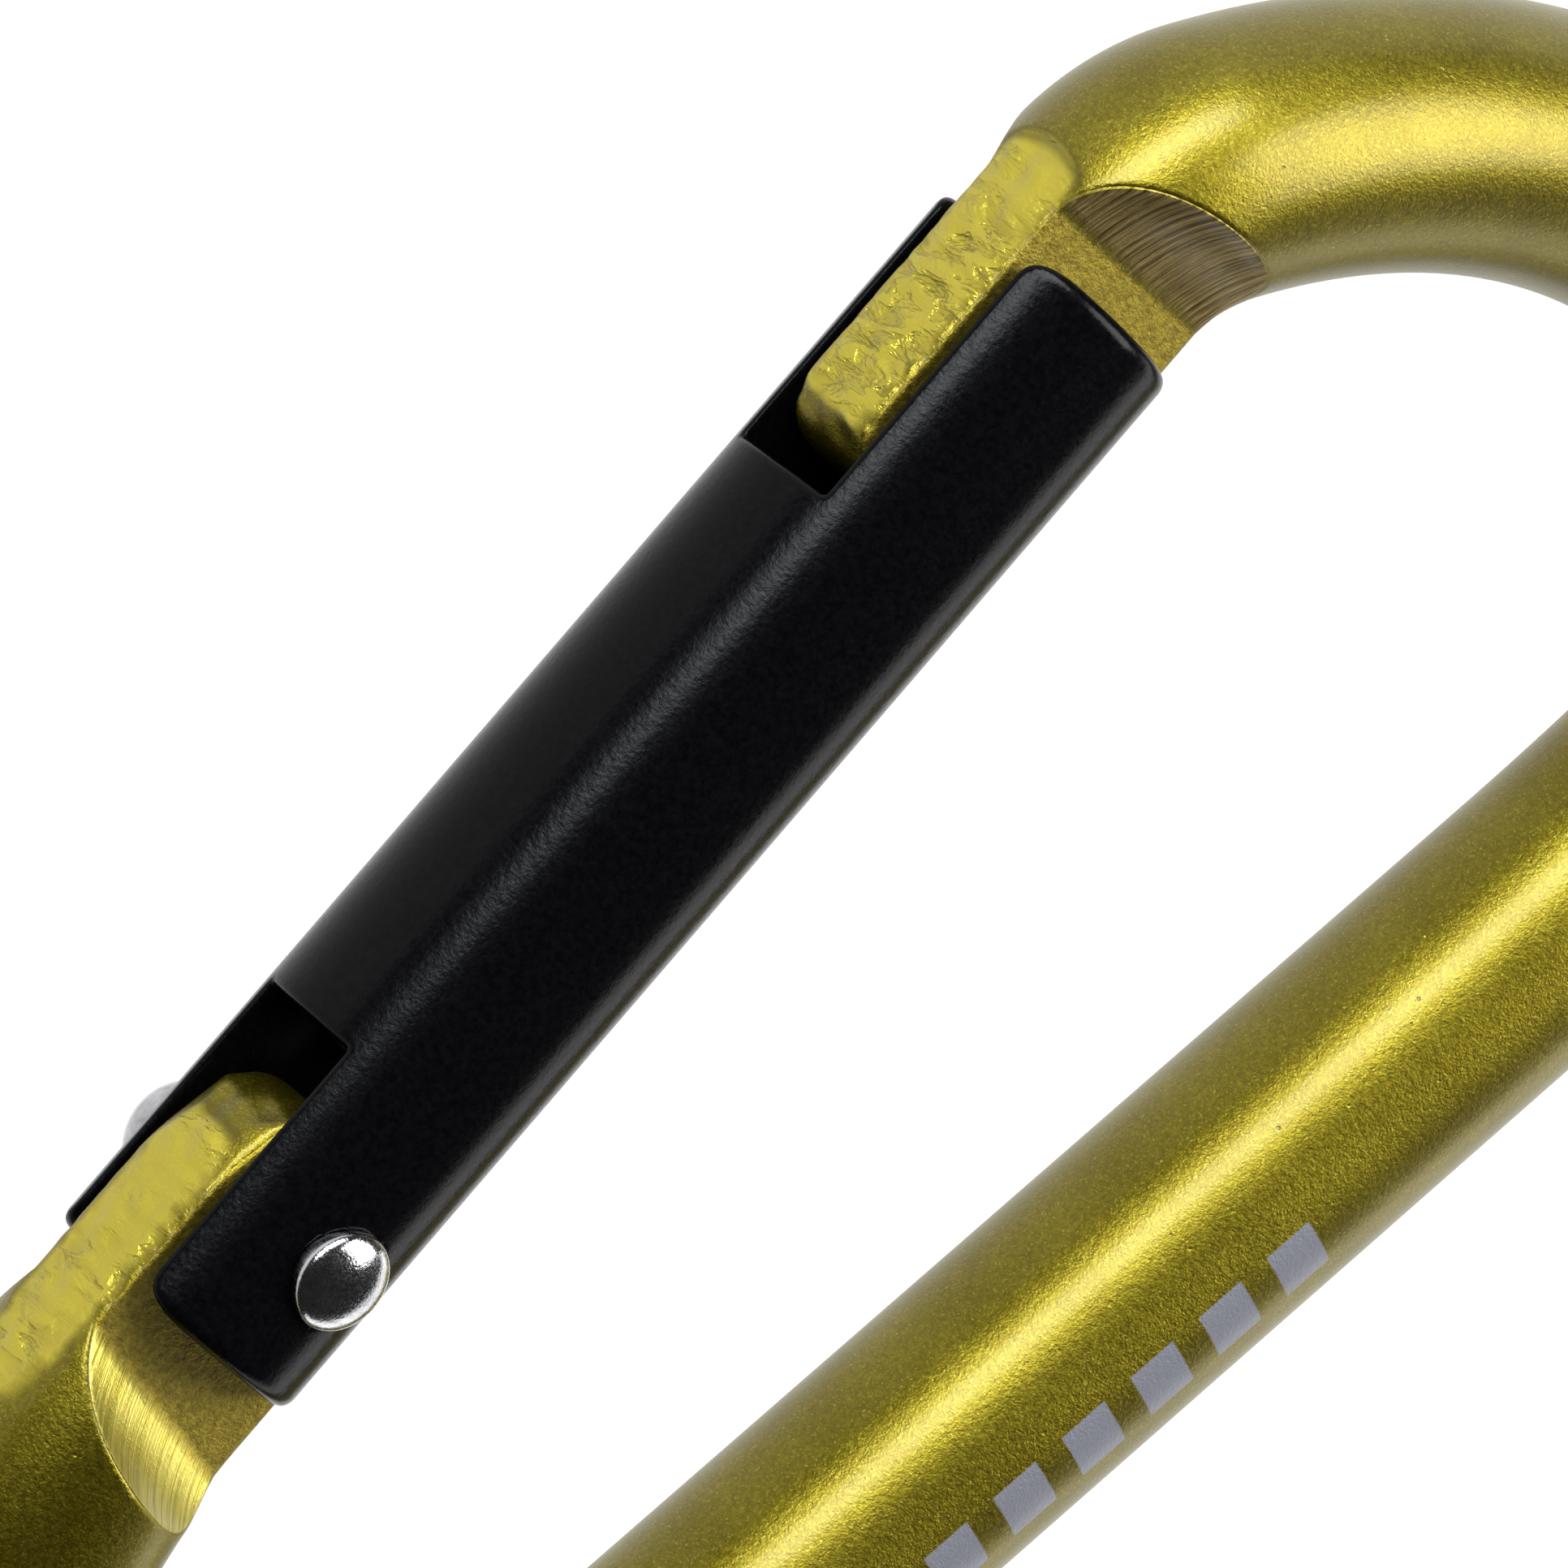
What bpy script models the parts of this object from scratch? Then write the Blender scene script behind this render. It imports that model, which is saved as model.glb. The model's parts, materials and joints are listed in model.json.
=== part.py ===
"""Spring-gate carabiner of 8 mm rod: body, round gate, hinge rivet, sprung follower."""

import math

import bmesh
import bpy
from mathutils import Matrix, Vector

MM = 0.001

# Rod and gate. Gate frame: x towards the spine, y along the gate to its nose, z to the front.
ROD_RADIUS = 4.0 * MM
ROD_SIDES = 24
GATE_TILT = math.radians(12)
PIVOT = Vector((-8.587 * MM, -16.739 * MM, 5.75 * MM))
SPINE_X = 24.75 * MM

# Body bends: (centreline radius, angle), from the gate end to the spine.
NOSE_SHOULDER_Y = 35.9 * MM
NOSE_END_Y = 25.0 * MM
NOSE_BENDS = [(5.2 * MM, 39.0), (26.0 * MM, 54.0), (None, 96.0), (95.0 * MM, 3.0)]
HINGE_SHOULDER_Y = -5.5 * MM
HINGE_END_Y = 4.4 * MM
HINGE_BENDS = [(19.0 * MM, 39.0), (13.0 * MM, 48.0), (None, 81.0)]
BEND_STEP = 6.0

# Flat tangs at both ends of the body.
TANG_HALF = 1.7 * MM
PAD_X = -3.8 * MM
NOSE_PAD_END_Y = 36.4 * MM
NOSE_CHEEK_Y = 35.2 * MM
NOSE_CHEEK_LEAN = math.radians(3.1)
NOSE_CHEEK_RADIUS = 4.38 * MM
NOSE_TIP_Y = 25.9 * MM
NOSE_TIP_INNER_X = 2.6 * MM
NOSE_STEP_Y = 33.3 * MM
HINGE_CHEEK_Y = -5.82 * MM
HINGE_CHEEK_LEAN = math.radians(9.5)
HINGE_CHEEK_RADIUS = 4.4 * MM
HEEL_ARC_CENTRE = (-0.9 * MM, 0.25 * MM)
HEEL_ARC_RADIUS = 2.9 * MM

# Involute cam on the hinge tang: the follower moves CAM_RATE for each radian of gate.
CAM_RATE = 1.1 * MM
CAM_START = 3.15 * MM
CAM_TRAVEL = math.radians(38)

# Gate.
GATE_RADIUS = 4.07 * MM
GATE_AXIS_X = -0.05 * MM
GATE_HEEL_Y = -3.9 * MM
GATE_NOSE_Y = 33.85 * MM
GATE_SIDES = 32
GATE_EDGE = 0.55 * MM
SLOT_HALF = 2.0 * MM
HINGE_SLOT_Y = 4.95 * MM
NOSE_SLOT_Y = 24.8 * MM
NOSE_WEB_X = 2.8 * MM
NOSE_WEB_END_Y = 32.6 * MM

# Spring and follower, in a blind bore on the cam's contact line.
BORE_X = 1.1 * MM
BORE_RADIUS = 1.45 * MM
BORE_END_Y = 17.0 * MM
FOLLOWER_GAP = 0.1 * MM
FOLLOWER_RADIUS = 1.38 * MM
FOLLOWER_COLLAR_Y = 7.6 * MM
SPIGOT_RADIUS = 0.6 * MM
SPIGOT_END_Y = 9.6 * MM
WIRE_RADIUS = 0.27 * MM
COIL_RADIUS = 1.03 * MM
COIL_START_Y = 7.95 * MM
COIL_END_Y = 16.65 * MM
COIL_TURNS = 8.5
POINTS_PER_TURN = 14

# Rivet.
PIN_RADIUS = 1.0 * MM
ARM_HOLE_RADIUS = 1.05 * MM
TANG_HOLE_RADIUS = 1.1 * MM
SPOT_FACE_RADIAL = 0.06 * MM
SPOT_FACE_DEPTH = 0.05 * MM
# Each head: radius, height of its seat, of its rim and of its apex above the mid-plane.
FRONT_HEAD = (1.52 * MM, 3.72 * MM, 4.15 * MM, 4.75 * MM)
BACK_HEAD = (1.95 * MM, 3.6 * MM, 3.8 * MM, 5.75 * MM)

GATE_MATRIX = Matrix.Translation(PIVOT) @ Matrix.Rotation(GATE_TILT, 4, "Z")


def clear_scene():
    for obj in list(bpy.data.objects):
        bpy.data.objects.remove(obj, do_unlink=True)


def new_collection(name, hidden):
    made = bpy.data.collections.new(name)
    bpy.context.scene.collection.children.link(made)
    made.hide_render = hidden
    return made


def metal(name, colour, roughness, metallic):
    made = bpy.data.materials.new(name)
    made.use_nodes = True
    shader = made.node_tree.nodes["Principled BSDF"]
    shader.inputs["Base Color"].default_value = (*colour, 1.0)
    shader.inputs["Roughness"].default_value = roughness
    shader.inputs["Metallic"].default_value = metallic
    return made


def mesh_object(name, mesh, collection, matrix):
    obj = bpy.data.objects.new(name, mesh)
    obj.matrix_world = matrix
    collection.objects.link(obj)
    return obj


def solid_from_curve(name, curve, collection, matrix):
    """The curve's filled shape as a closed mesh object. The curve is removed."""
    guide = bpy.data.objects.new(name + "_guide", curve)
    bpy.context.scene.collection.objects.link(guide)
    graph = bpy.context.evaluated_depsgraph_get()
    mesh = bpy.data.meshes.new_from_object(guide.evaluated_get(graph))
    bpy.data.objects.remove(guide, do_unlink=True)
    shape = bmesh.new()
    shape.from_mesh(mesh)
    bmesh.ops.remove_doubles(shape, verts=shape.verts, dist=0.000001)
    bmesh.ops.recalc_face_normals(shape, faces=shape.faces)
    shape.to_mesh(mesh)
    shape.free()
    return mesh_object(name, mesh, collection, matrix)


def prism(name, outline, depth, collection, matrix):
    """A closed outline in local XY, extruded by depth, half to each side of local Z."""
    curve = bpy.data.curves.new(name, "CURVE")
    curve.dimensions = "2D"
    curve.fill_mode = "BOTH"
    curve.extrude = depth / 2
    spline = curve.splines.new("POLY")
    spline.points.add(len(outline) - 1)
    for point, (x, y) in zip(spline.points, outline):
        point.co = (x, y, 0.0, 1.0)
    spline.use_cyclic_u = True
    return solid_from_curve(name, curve, collection, matrix)


def cylinder(name, radius, start, end, sides, collection, matrix):
    """A cylinder along local Y from start to end, with a facet centred on local +Z and -Z."""
    mesh = bpy.data.meshes.new(name)
    shape = bmesh.new()
    bmesh.ops.create_cone(
        shape,
        cap_ends=True,
        segments=sides,
        radius1=radius,
        radius2=radius,
        depth=end - start,
        matrix=Matrix.Translation((0, (start + end) / 2, 0))
        @ Matrix.Rotation(math.radians(90), 4, "X")
        @ Matrix.Rotation(math.pi / sides, 4, "Z"),
    )
    shape.to_mesh(mesh)
    shape.free()
    return mesh_object(name, mesh, collection, matrix)


def box(name, low, high, collection, matrix):
    mesh = bpy.data.meshes.new(name)
    shape = bmesh.new()
    centre = (Vector(low) + Vector(high)) / 2
    size = Vector(high) - Vector(low)
    place = Matrix.Translation(centre) @ Matrix.Diagonal(size).to_4x4()
    bmesh.ops.create_cube(shape, size=1.0, matrix=place)
    shape.to_mesh(mesh)
    shape.free()
    return mesh_object(name, mesh, collection, matrix)


def cut(obj, cutter):
    modifier = obj.modifiers.new("cut_" + cutter.name, "BOOLEAN")
    modifier.operation = "DIFFERENCE"
    modifier.solver = "EXACT"
    modifier.object = cutter


def smooth(obj, material):
    obj.data.materials.clear()
    obj.data.materials.append(material)
    obj.data.shade_smooth()
    obj.data.set_sharp_from_angle(angle=math.radians(32))


def arc(centre, radius, start, end, steps):
    """Points of an arc in a plane; the angles are in degrees from the first axis."""
    found = []
    for i in range(steps + 1):
        angle = math.radians(start + (end - start) * i / steps)
        found.append((centre[0] + radius * math.cos(angle), centre[1] + radius * math.sin(angle)))
    return found


def walk(start_y, heading_y, bends, free_radius):
    """Centreline points in the world's XY from a shoulder, bending towards the spine."""
    side = -heading_y
    point = PIVOT.xy + Vector((-math.sin(GATE_TILT), math.cos(GATE_TILT))) * start_y
    heading = math.pi / 2 + GATE_TILT + (0 if heading_y > 0 else math.pi)
    points = [point.copy()]
    for radius, degrees in bends:
        radius = radius or free_radius
        steps = math.ceil(degrees / BEND_STEP)
        turn = side * math.radians(degrees) / steps
        chord = 2 * radius * math.sin(abs(turn) / 2)
        for _ in range(steps):
            heading += turn / 2
            point = point + Vector((math.cos(heading), math.sin(heading))) * chord
            heading += turn / 2
            points.append(point.copy())
    return points


def bend_points(start_y, heading_y, bends):
    """The walk whose free bend radius brings it onto the spine's line."""
    low, high = 2 * MM, 40 * MM
    for _ in range(60):
        middle = (low + high) / 2
        if walk(start_y, heading_y, bends, middle)[-1].x < PIVOT.x + SPINE_X:
            low = middle
        else:
            high = middle
    return walk(start_y, heading_y, bends, middle)


def body_rod(collection):
    """The bent rod before its ends are worked: an open tube path with filled ends."""
    along = Vector((-math.sin(GATE_TILT), math.cos(GATE_TILT)))
    nose = bend_points(NOSE_SHOULDER_Y, 1, NOSE_BENDS)
    hinge = bend_points(HINGE_SHOULDER_Y, -1, HINGE_BENDS)
    path = [PIVOT.xy + along * NOSE_END_Y] + nose + hinge[::-1] + [PIVOT.xy + along * HINGE_END_Y]
    curve = bpy.data.curves.new("frame", "CURVE")
    curve.dimensions = "3D"
    curve.twist_mode = "Z_UP"
    curve.bevel_depth = ROD_RADIUS
    curve.bevel_resolution = (ROD_SIDES - 4) // 2
    curve.use_fill_caps = True
    spline = curve.splines.new("POLY")
    spline.points.add(len(path) - 1)
    for point, (x, y) in zip(spline.points, path):
        point.co = (x, y, PIVOT.z, 1.0)
        point.tilt = math.pi / ROD_SIDES
    return solid_from_curve("frame", curve, collection, Matrix.Identity(4))


def cheek_cutters(cutters, label, boundary_y, centre_y, radius, side, lean):
    """Two cutters that leave the flat tang and end in round scallops in the rod's shoulder."""
    high = 4.7 * MM
    centre_z = TANG_HALF + math.sqrt(radius**2 - (boundary_y - centre_y) ** 2)
    start = math.degrees(math.atan2(TANG_HALF - centre_z, boundary_y - centre_y))
    end = math.degrees(math.atan2(high - centre_z, side * math.sqrt(radius**2 - (high - centre_z) ** 2)))
    if side < 0:
        start %= 360
        end %= 360
    far = boundary_y - side * 13 * MM
    outline = [(far, TANG_HALF)] + arc((centre_y, centre_z), radius, start, end, 8) + [(far, high)]
    made = []
    for front in (1, -1):
        # The outline's plane holds the gate's Y and Z; it is extruded along the gate's X.
        turn = Matrix(((0, 0, 1, 0), (1, 0, 0, 0), (0, front, 0, 0), (0, 0, 0, 1)))
        swing = (
            Matrix.Translation((0, boundary_y, 0))
            @ Matrix.Rotation(lean, 4, "Z")
            @ Matrix.Translation((0, -boundary_y, 0))
        )
        name = f"{label}_cheek_{'front' if front > 0 else 'back'}"
        made.append(prism(name, outline, 13 * MM, cutters, GATE_MATRIX @ swing @ turn))
    return made


def nose_pad_cutter(cutters):
    """Flattens the outer side of the nose tang, ending in a shallow rounded boundary."""
    edge = arc((0, NOSE_PAD_END_Y - 3.2 * MM), 3.2 * MM, 128, 52, 6)
    outline = [(4.6 * MM, NOSE_PAD_END_Y - 3.2 * MM), (4.6 * MM, 22 * MM), (-4.6 * MM, 22 * MM)]
    outline = [(-4.6 * MM, NOSE_PAD_END_Y - 3.2 * MM)] + edge + outline
    # The outline's plane holds the gate's Z and Y; it is extruded along the gate's X.
    turn = Matrix(((0, 0, 1, PAD_X - 1.5 * MM), (0, 1, 0, 0), (-1, 0, 0, 0), (0, 0, 0, 1)))
    return prism("nose_pad", outline, 3 * MM, cutters, GATE_MATRIX @ turn)


def nose_tip_cutter(cutters):
    """Rounds the tip of the nose tang and relieves its inner side for the gate's web."""
    outer = arc((PAD_X + 1.9 * MM, NOSE_TIP_Y + 1.9 * MM), 1.9 * MM, 180, 270, 6)
    inner = arc((NOSE_TIP_INNER_X - 1.3 * MM, NOSE_TIP_Y + 1.3 * MM), 1.3 * MM, 270, 360, 5)
    step = [(NOSE_TIP_INNER_X, NOSE_STEP_Y), (4.8 * MM, NOSE_STEP_Y)]
    around = [(4.8 * MM, 22 * MM), (-4.8 * MM, 22 * MM), (-4.8 * MM, NOSE_TIP_Y + 1.9 * MM)]
    return prism("nose_tip", outer + inner + step + around, 10 * MM, cutters, GATE_MATRIX)


def cam_point(angle):
    """Involute point, in the gate frame, that a flat follower touches at this gate angle."""
    reach = CAM_START + CAM_RATE * angle
    along = reach * math.cos(angle) - CAM_RATE * math.sin(angle)
    inward = reach * math.sin(angle) + CAM_RATE * math.cos(angle)
    return inward, along


def hinge_tang_cutter(cutters):
    """Leaves the hinge tang's round outer corner, its flat end and the cam."""
    outer = arc(HEEL_ARC_CENTRE, HEEL_ARC_RADIUS, 180, 90, 10)
    cam = [cam_point(CAM_TRAVEL * i / 6) for i in range(7)]
    inner = [(4.05 * MM, 1.7 * MM), (4.9 * MM, 1.0 * MM)]
    around = [(4.9 * MM, 7 * MM), (-4.9 * MM, 7 * MM), (-4.9 * MM, HEEL_ARC_CENTRE[1])]
    return prism("hinge_tang", outer + cam + inner + around, 10 * MM, cutters, GATE_MATRIX)


def hinge_pad_cutter(cutters):
    low = (-7 * MM, -12 * MM, -4.6 * MM)
    high = (PAD_X, HEEL_ARC_CENTRE[1] + 0.4 * MM, 4.6 * MM)
    return box("hinge_pad", low, high, cutters, GATE_MATRIX)


def across_hole(name, radius, cutters):
    """A cylinder cutter on the pivot axis, through everything."""
    stand = GATE_MATRIX @ Matrix.Rotation(math.radians(90), 4, "X")
    return cylinder(name, radius, -6 * MM, 6 * MM, 24, cutters, stand)


def build_frame(nodes, cutters):
    frame = body_rod(nodes)
    cheeks = cheek_cutters(
        cutters, "nose", NOSE_CHEEK_Y, 33.75 * MM, NOSE_CHEEK_RADIUS, 1, NOSE_CHEEK_LEAN
    )
    cheeks += cheek_cutters(
        cutters,
        "hinge",
        HINGE_CHEEK_Y,
        HINGE_CHEEK_Y + 1.745 * MM,
        HINGE_CHEEK_RADIUS,
        -1,
        -HINGE_CHEEK_LEAN,
    )
    for cutter in cheeks:
        cut(frame, cutter)
    cut(frame, nose_pad_cutter(cutters))
    cut(frame, nose_tip_cutter(cutters))
    cut(frame, hinge_tang_cutter(cutters))
    cut(frame, hinge_pad_cutter(cutters))
    cut(frame, across_hole("tang_hole", TANG_HOLE_RADIUS, cutters))
    smooth(frame, metal("anodised_olive", (0.42, 0.36, 0.03), 0.38, 1.0))


def build_gate(nodes, cutters):
    gate = cylinder("gate", GATE_RADIUS, GATE_HEEL_Y, GATE_NOSE_Y, GATE_SIDES, nodes, GATE_MATRIX)
    gate.data.transform(Matrix.Translation((GATE_AXIS_X, 0, 0)))
    edge = gate.modifiers.new("end_edges", "BEVEL")
    edge.width = GATE_EDGE
    edge.segments = 3
    edge.limit_method = "ANGLE"
    edge.angle_limit = math.radians(60)
    far = 6 * MM
    cutter = box(
        "hinge_slot",
        (-far, GATE_HEEL_Y - far, -SLOT_HALF),
        (far, HINGE_SLOT_Y, SLOT_HALF),
        cutters,
        GATE_MATRIX,
    )
    cut(gate, cutter)
    cutter = box(
        "nose_slot",
        (-far, NOSE_SLOT_Y, -SLOT_HALF),
        (NOSE_WEB_X, GATE_NOSE_Y + far, SLOT_HALF),
        cutters,
        GATE_MATRIX,
    )
    cut(gate, cutter)
    cutter = box(
        "web_end",
        (-far, NOSE_WEB_END_Y, -SLOT_HALF),
        (far, GATE_NOSE_Y + far, SLOT_HALF),
        cutters,
        GATE_MATRIX,
    )
    cut(gate, cutter)
    bore_line = GATE_MATRIX @ Matrix.Translation((BORE_X, 0, 0))
    start = HINGE_SLOT_Y - 2 * MM
    cut(gate, cylinder("spring_bore", BORE_RADIUS, start, BORE_END_Y, 20, cutters, bore_line))
    cut(gate, across_hole("arm_holes", ARM_HOLE_RADIUS, cutters))
    for name, head, front in (("front_spot_face", FRONT_HEAD, 1), ("back_spot_face", BACK_HEAD, -1)):
        stand = GATE_MATRIX @ Matrix.Rotation(math.radians(90 * front), 4, "X")
        radius = head[0] + SPOT_FACE_RADIAL
        start = head[1] - SPOT_FACE_DEPTH
        cut(gate, cylinder(name, radius, start, 6 * MM, 24, cutters, stand))
    smooth(gate, metal("anodised_black", (0.012, 0.012, 0.013), 0.35, 0.6))


def dome(radius, low, high, steps):
    """Profile points of a domed head from its rim at low to just short of its apex at high."""
    found = []
    for i in range(steps):
        angle = math.pi / 2 * i / steps
        found.append((radius * math.cos(angle), low + (high - low) * math.sin(angle)))
    return found


def lathe(name, profile, steps, collection, matrix):
    """Turns a profile of (radius, height) points, top to bottom, about local Z."""
    mesh = bpy.data.meshes.new(name)
    edges = [(i, i + 1) for i in range(len(profile) - 1)]
    mesh.from_pydata([(r, 0.0, z) for r, z in profile], edges, [])
    obj = mesh_object(name, mesh, collection, matrix)
    screw = obj.modifiers.new("turn", "SCREW")
    screw.steps = steps
    screw.render_steps = steps
    screw.use_merge_vertices = True
    screw.merge_threshold = 0.000002
    return obj


def turned_material(obj, material):
    obj.data.materials.append(material)
    obj.modifiers["turn"].use_smooth_shade = True


def build_rivet(nodes):
    radius, seat, rim, apex = FRONT_HEAD
    profile = [(0.0, apex)] + dome(radius, rim, apex, 6)[::-1] + [(radius, seat), (PIN_RADIUS, seat)]
    radius, seat, rim, apex = BACK_HEAD
    profile += [(PIN_RADIUS, -seat), (radius, -seat)]
    profile += [(r, -z) for r, z in dome(radius, rim, apex, 8)] + [(0.0, -apex)]
    rivet = lathe("hinge_rivet", profile, 28, nodes, GATE_MATRIX)
    turned_material(rivet, metal("polished_steel", (0.72, 0.72, 0.73), 0.12, 1.0))


def build_follower(nodes):
    """The plunger, whose flat face stands off the cam by the running gap."""
    face = CAM_START + FOLLOWER_GAP
    edge = 0.15 * MM
    profile = [
        (0.0, face),
        (FOLLOWER_RADIUS - edge, face),
        (FOLLOWER_RADIUS, face + edge),
        (FOLLOWER_RADIUS, FOLLOWER_COLLAR_Y),
        (SPIGOT_RADIUS, FOLLOWER_COLLAR_Y),
        (SPIGOT_RADIUS, SPIGOT_END_Y - edge),
        (SPIGOT_RADIUS - edge, SPIGOT_END_Y),
        (0.0, SPIGOT_END_Y),
    ]
    stand = Matrix.Translation((BORE_X, 0, 0)) @ Matrix.Rotation(math.radians(90), 4, "X")
    # Local Z of the stand points down the bore, so heights change sign and the order holds.
    profile = [(radius, -height) for radius, height in profile]
    plunger = lathe("spring_plunger", profile, 24, nodes, GATE_MATRIX @ stand)
    turned_material(plunger, metal("turned_steel", (0.55, 0.55, 0.56), 0.3, 1.0))


def build_spring(nodes):
    curve = bpy.data.curves.new("gate_spring", "CURVE")
    curve.dimensions = "3D"
    curve.bevel_depth = WIRE_RADIUS
    curve.bevel_resolution = 2
    curve.use_fill_caps = True
    count = int(COIL_TURNS * POINTS_PER_TURN)
    spline = curve.splines.new("POLY")
    spline.points.add(count)
    for i, point in enumerate(spline.points):
        angle = 2 * math.pi * i / POINTS_PER_TURN
        along = COIL_START_Y + (COIL_END_Y - COIL_START_Y) * i / count
        x = BORE_X + COIL_RADIUS * math.cos(angle)
        point.co = (x, along, COIL_RADIUS * math.sin(angle), 1.0)
    spring = solid_from_curve("gate_spring", curve, nodes, GATE_MATRIX)
    smooth(spring, metal("spring_steel", (0.4, 0.4, 0.42), 0.28, 1.0))


def main():
    clear_scene()
    nodes = new_collection("carabiner", False)
    cutters = new_collection("cutters", True)
    build_frame(nodes, cutters)
    build_gate(nodes, cutters)
    build_rivet(nodes)
    build_follower(nodes)
    build_spring(nodes)
    for cutter in cutters.objects:
        cutter.hide_render = True
        cutter.display_type = "WIRE"


main()
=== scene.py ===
"""Scene for the carabiner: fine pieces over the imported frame, procedural materials, studio."""

import json
import math

import bmesh
import bpy
import numpy as np
from mathutils import Euler, Matrix, Vector


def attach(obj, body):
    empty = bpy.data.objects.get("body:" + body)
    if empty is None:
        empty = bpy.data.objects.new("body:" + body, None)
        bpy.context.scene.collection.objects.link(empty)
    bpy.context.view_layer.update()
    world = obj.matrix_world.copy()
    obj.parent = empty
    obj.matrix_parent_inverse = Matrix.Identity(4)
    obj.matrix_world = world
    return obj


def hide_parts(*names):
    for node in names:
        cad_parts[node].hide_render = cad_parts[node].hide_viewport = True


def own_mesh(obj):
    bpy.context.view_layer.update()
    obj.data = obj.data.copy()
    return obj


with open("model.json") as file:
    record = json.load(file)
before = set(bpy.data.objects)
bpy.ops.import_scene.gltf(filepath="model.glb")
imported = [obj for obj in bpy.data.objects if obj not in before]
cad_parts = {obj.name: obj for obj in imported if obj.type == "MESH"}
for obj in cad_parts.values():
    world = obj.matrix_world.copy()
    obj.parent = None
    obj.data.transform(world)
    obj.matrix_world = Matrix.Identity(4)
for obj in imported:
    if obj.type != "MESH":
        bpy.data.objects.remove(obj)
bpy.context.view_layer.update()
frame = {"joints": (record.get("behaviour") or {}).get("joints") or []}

# The gate's frame, in millimetres: x towards the spine, y along the gate, z to the front.
JOINTS = {joint["name"]: joint for joint in frame["joints"]}
PIVOT = Vector(JOINTS["gate_hinge"]["pos_m"])
GATE_WAY = JOINTS["plunger_slide"]["axis"]
TILT = math.atan2(-GATE_WAY[0], GATE_WAY[1])
MM = 0.001
TO_ROW = Matrix.Translation(PIVOT) @ Matrix.Rotation(TILT, 4, "Z") @ Matrix.Scale(MM, 4)

# The bent rod. Bends are (radius, degrees) past a shoulder; None is worked out so that the rod
# reaches the spine. A seam is the angle turned where a worked end meets the plain rod.
ROD = 4.0
SPINE_X = 24.75
NOSE_SHOULDER = 35.9
NOSE_BENDS = [(5.2, 39.0), (26.0, 54.0), (None, 96.0), (95.0, 3.0)]
HINGE_SHOULDER = -5.5
HINGE_BENDS = [(19.0, 39.0), (13.0, 48.0), (None, 81.0)]
NOSE_SEAM = 40.0
HINGE_SEAM = 15.0

# The tangs: half thickness, planes of their flats, and each scallop's cutter as (radius, back).
TANG = 1.7
PAD_X = -3.75
HINGE_PAD_X = -3.8
NOSE_CUTTER = (4.38, 1.34)
HINGE_CUTTER = (4.4, 1.745)
NOSE_TIP_Y = 25.9
NOSE_STEP = (2.6, 33.3)
CAM_RADIUS = 3.15
CAM_RISE = 1.1
TANG_HOLE = 1.1

# The gate: its bar, slots, web, core and bore, and its spot faces as (radius, height).
BAR = 4.07
BAR_X = -0.05
BAR_START = -3.9
BAR_END = 33.85
SLOT = 2.0
WEB_X = 2.8
WEB_END = 32.6
CORE_START = 4.95
CORE_END = 24.8
BORE = 1.45
BORE_X = 1.1
BORE_END = 17.0
GATE_HOLE = 1.05
FRONT_SPOT = (1.47, 3.68)
BACK_SPOT = (1.88, 3.56)

# The rivet's heads are (radius, seat, rim height, apex). The coil's fixed end is in the bore.
FRONT_HEAD = (1.52, 3.72, 0.43, 4.75)
BACK_HEAD = (1.95, 3.6, 0.2, 5.75)
SHANK = 1.0

BODY_STEP = 0.1
TUBE_SIDES = 112


# ---------------------------------------------------------------- solids from fields


def rmax(a, b, radius):
    """Intersection of two solids' distances, its edge rounded to this radius."""
    outside = np.hypot(np.maximum(a + radius, 0), np.maximum(b + radius, 0)) - radius
    return np.where((a > -radius) & (b > -radius), outside, np.maximum(a, b))


def rmin(a, b, radius):
    """Union of two solids' distances, its inner corner rounded to this radius."""
    return -rmax(-a, -b, radius)


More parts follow.
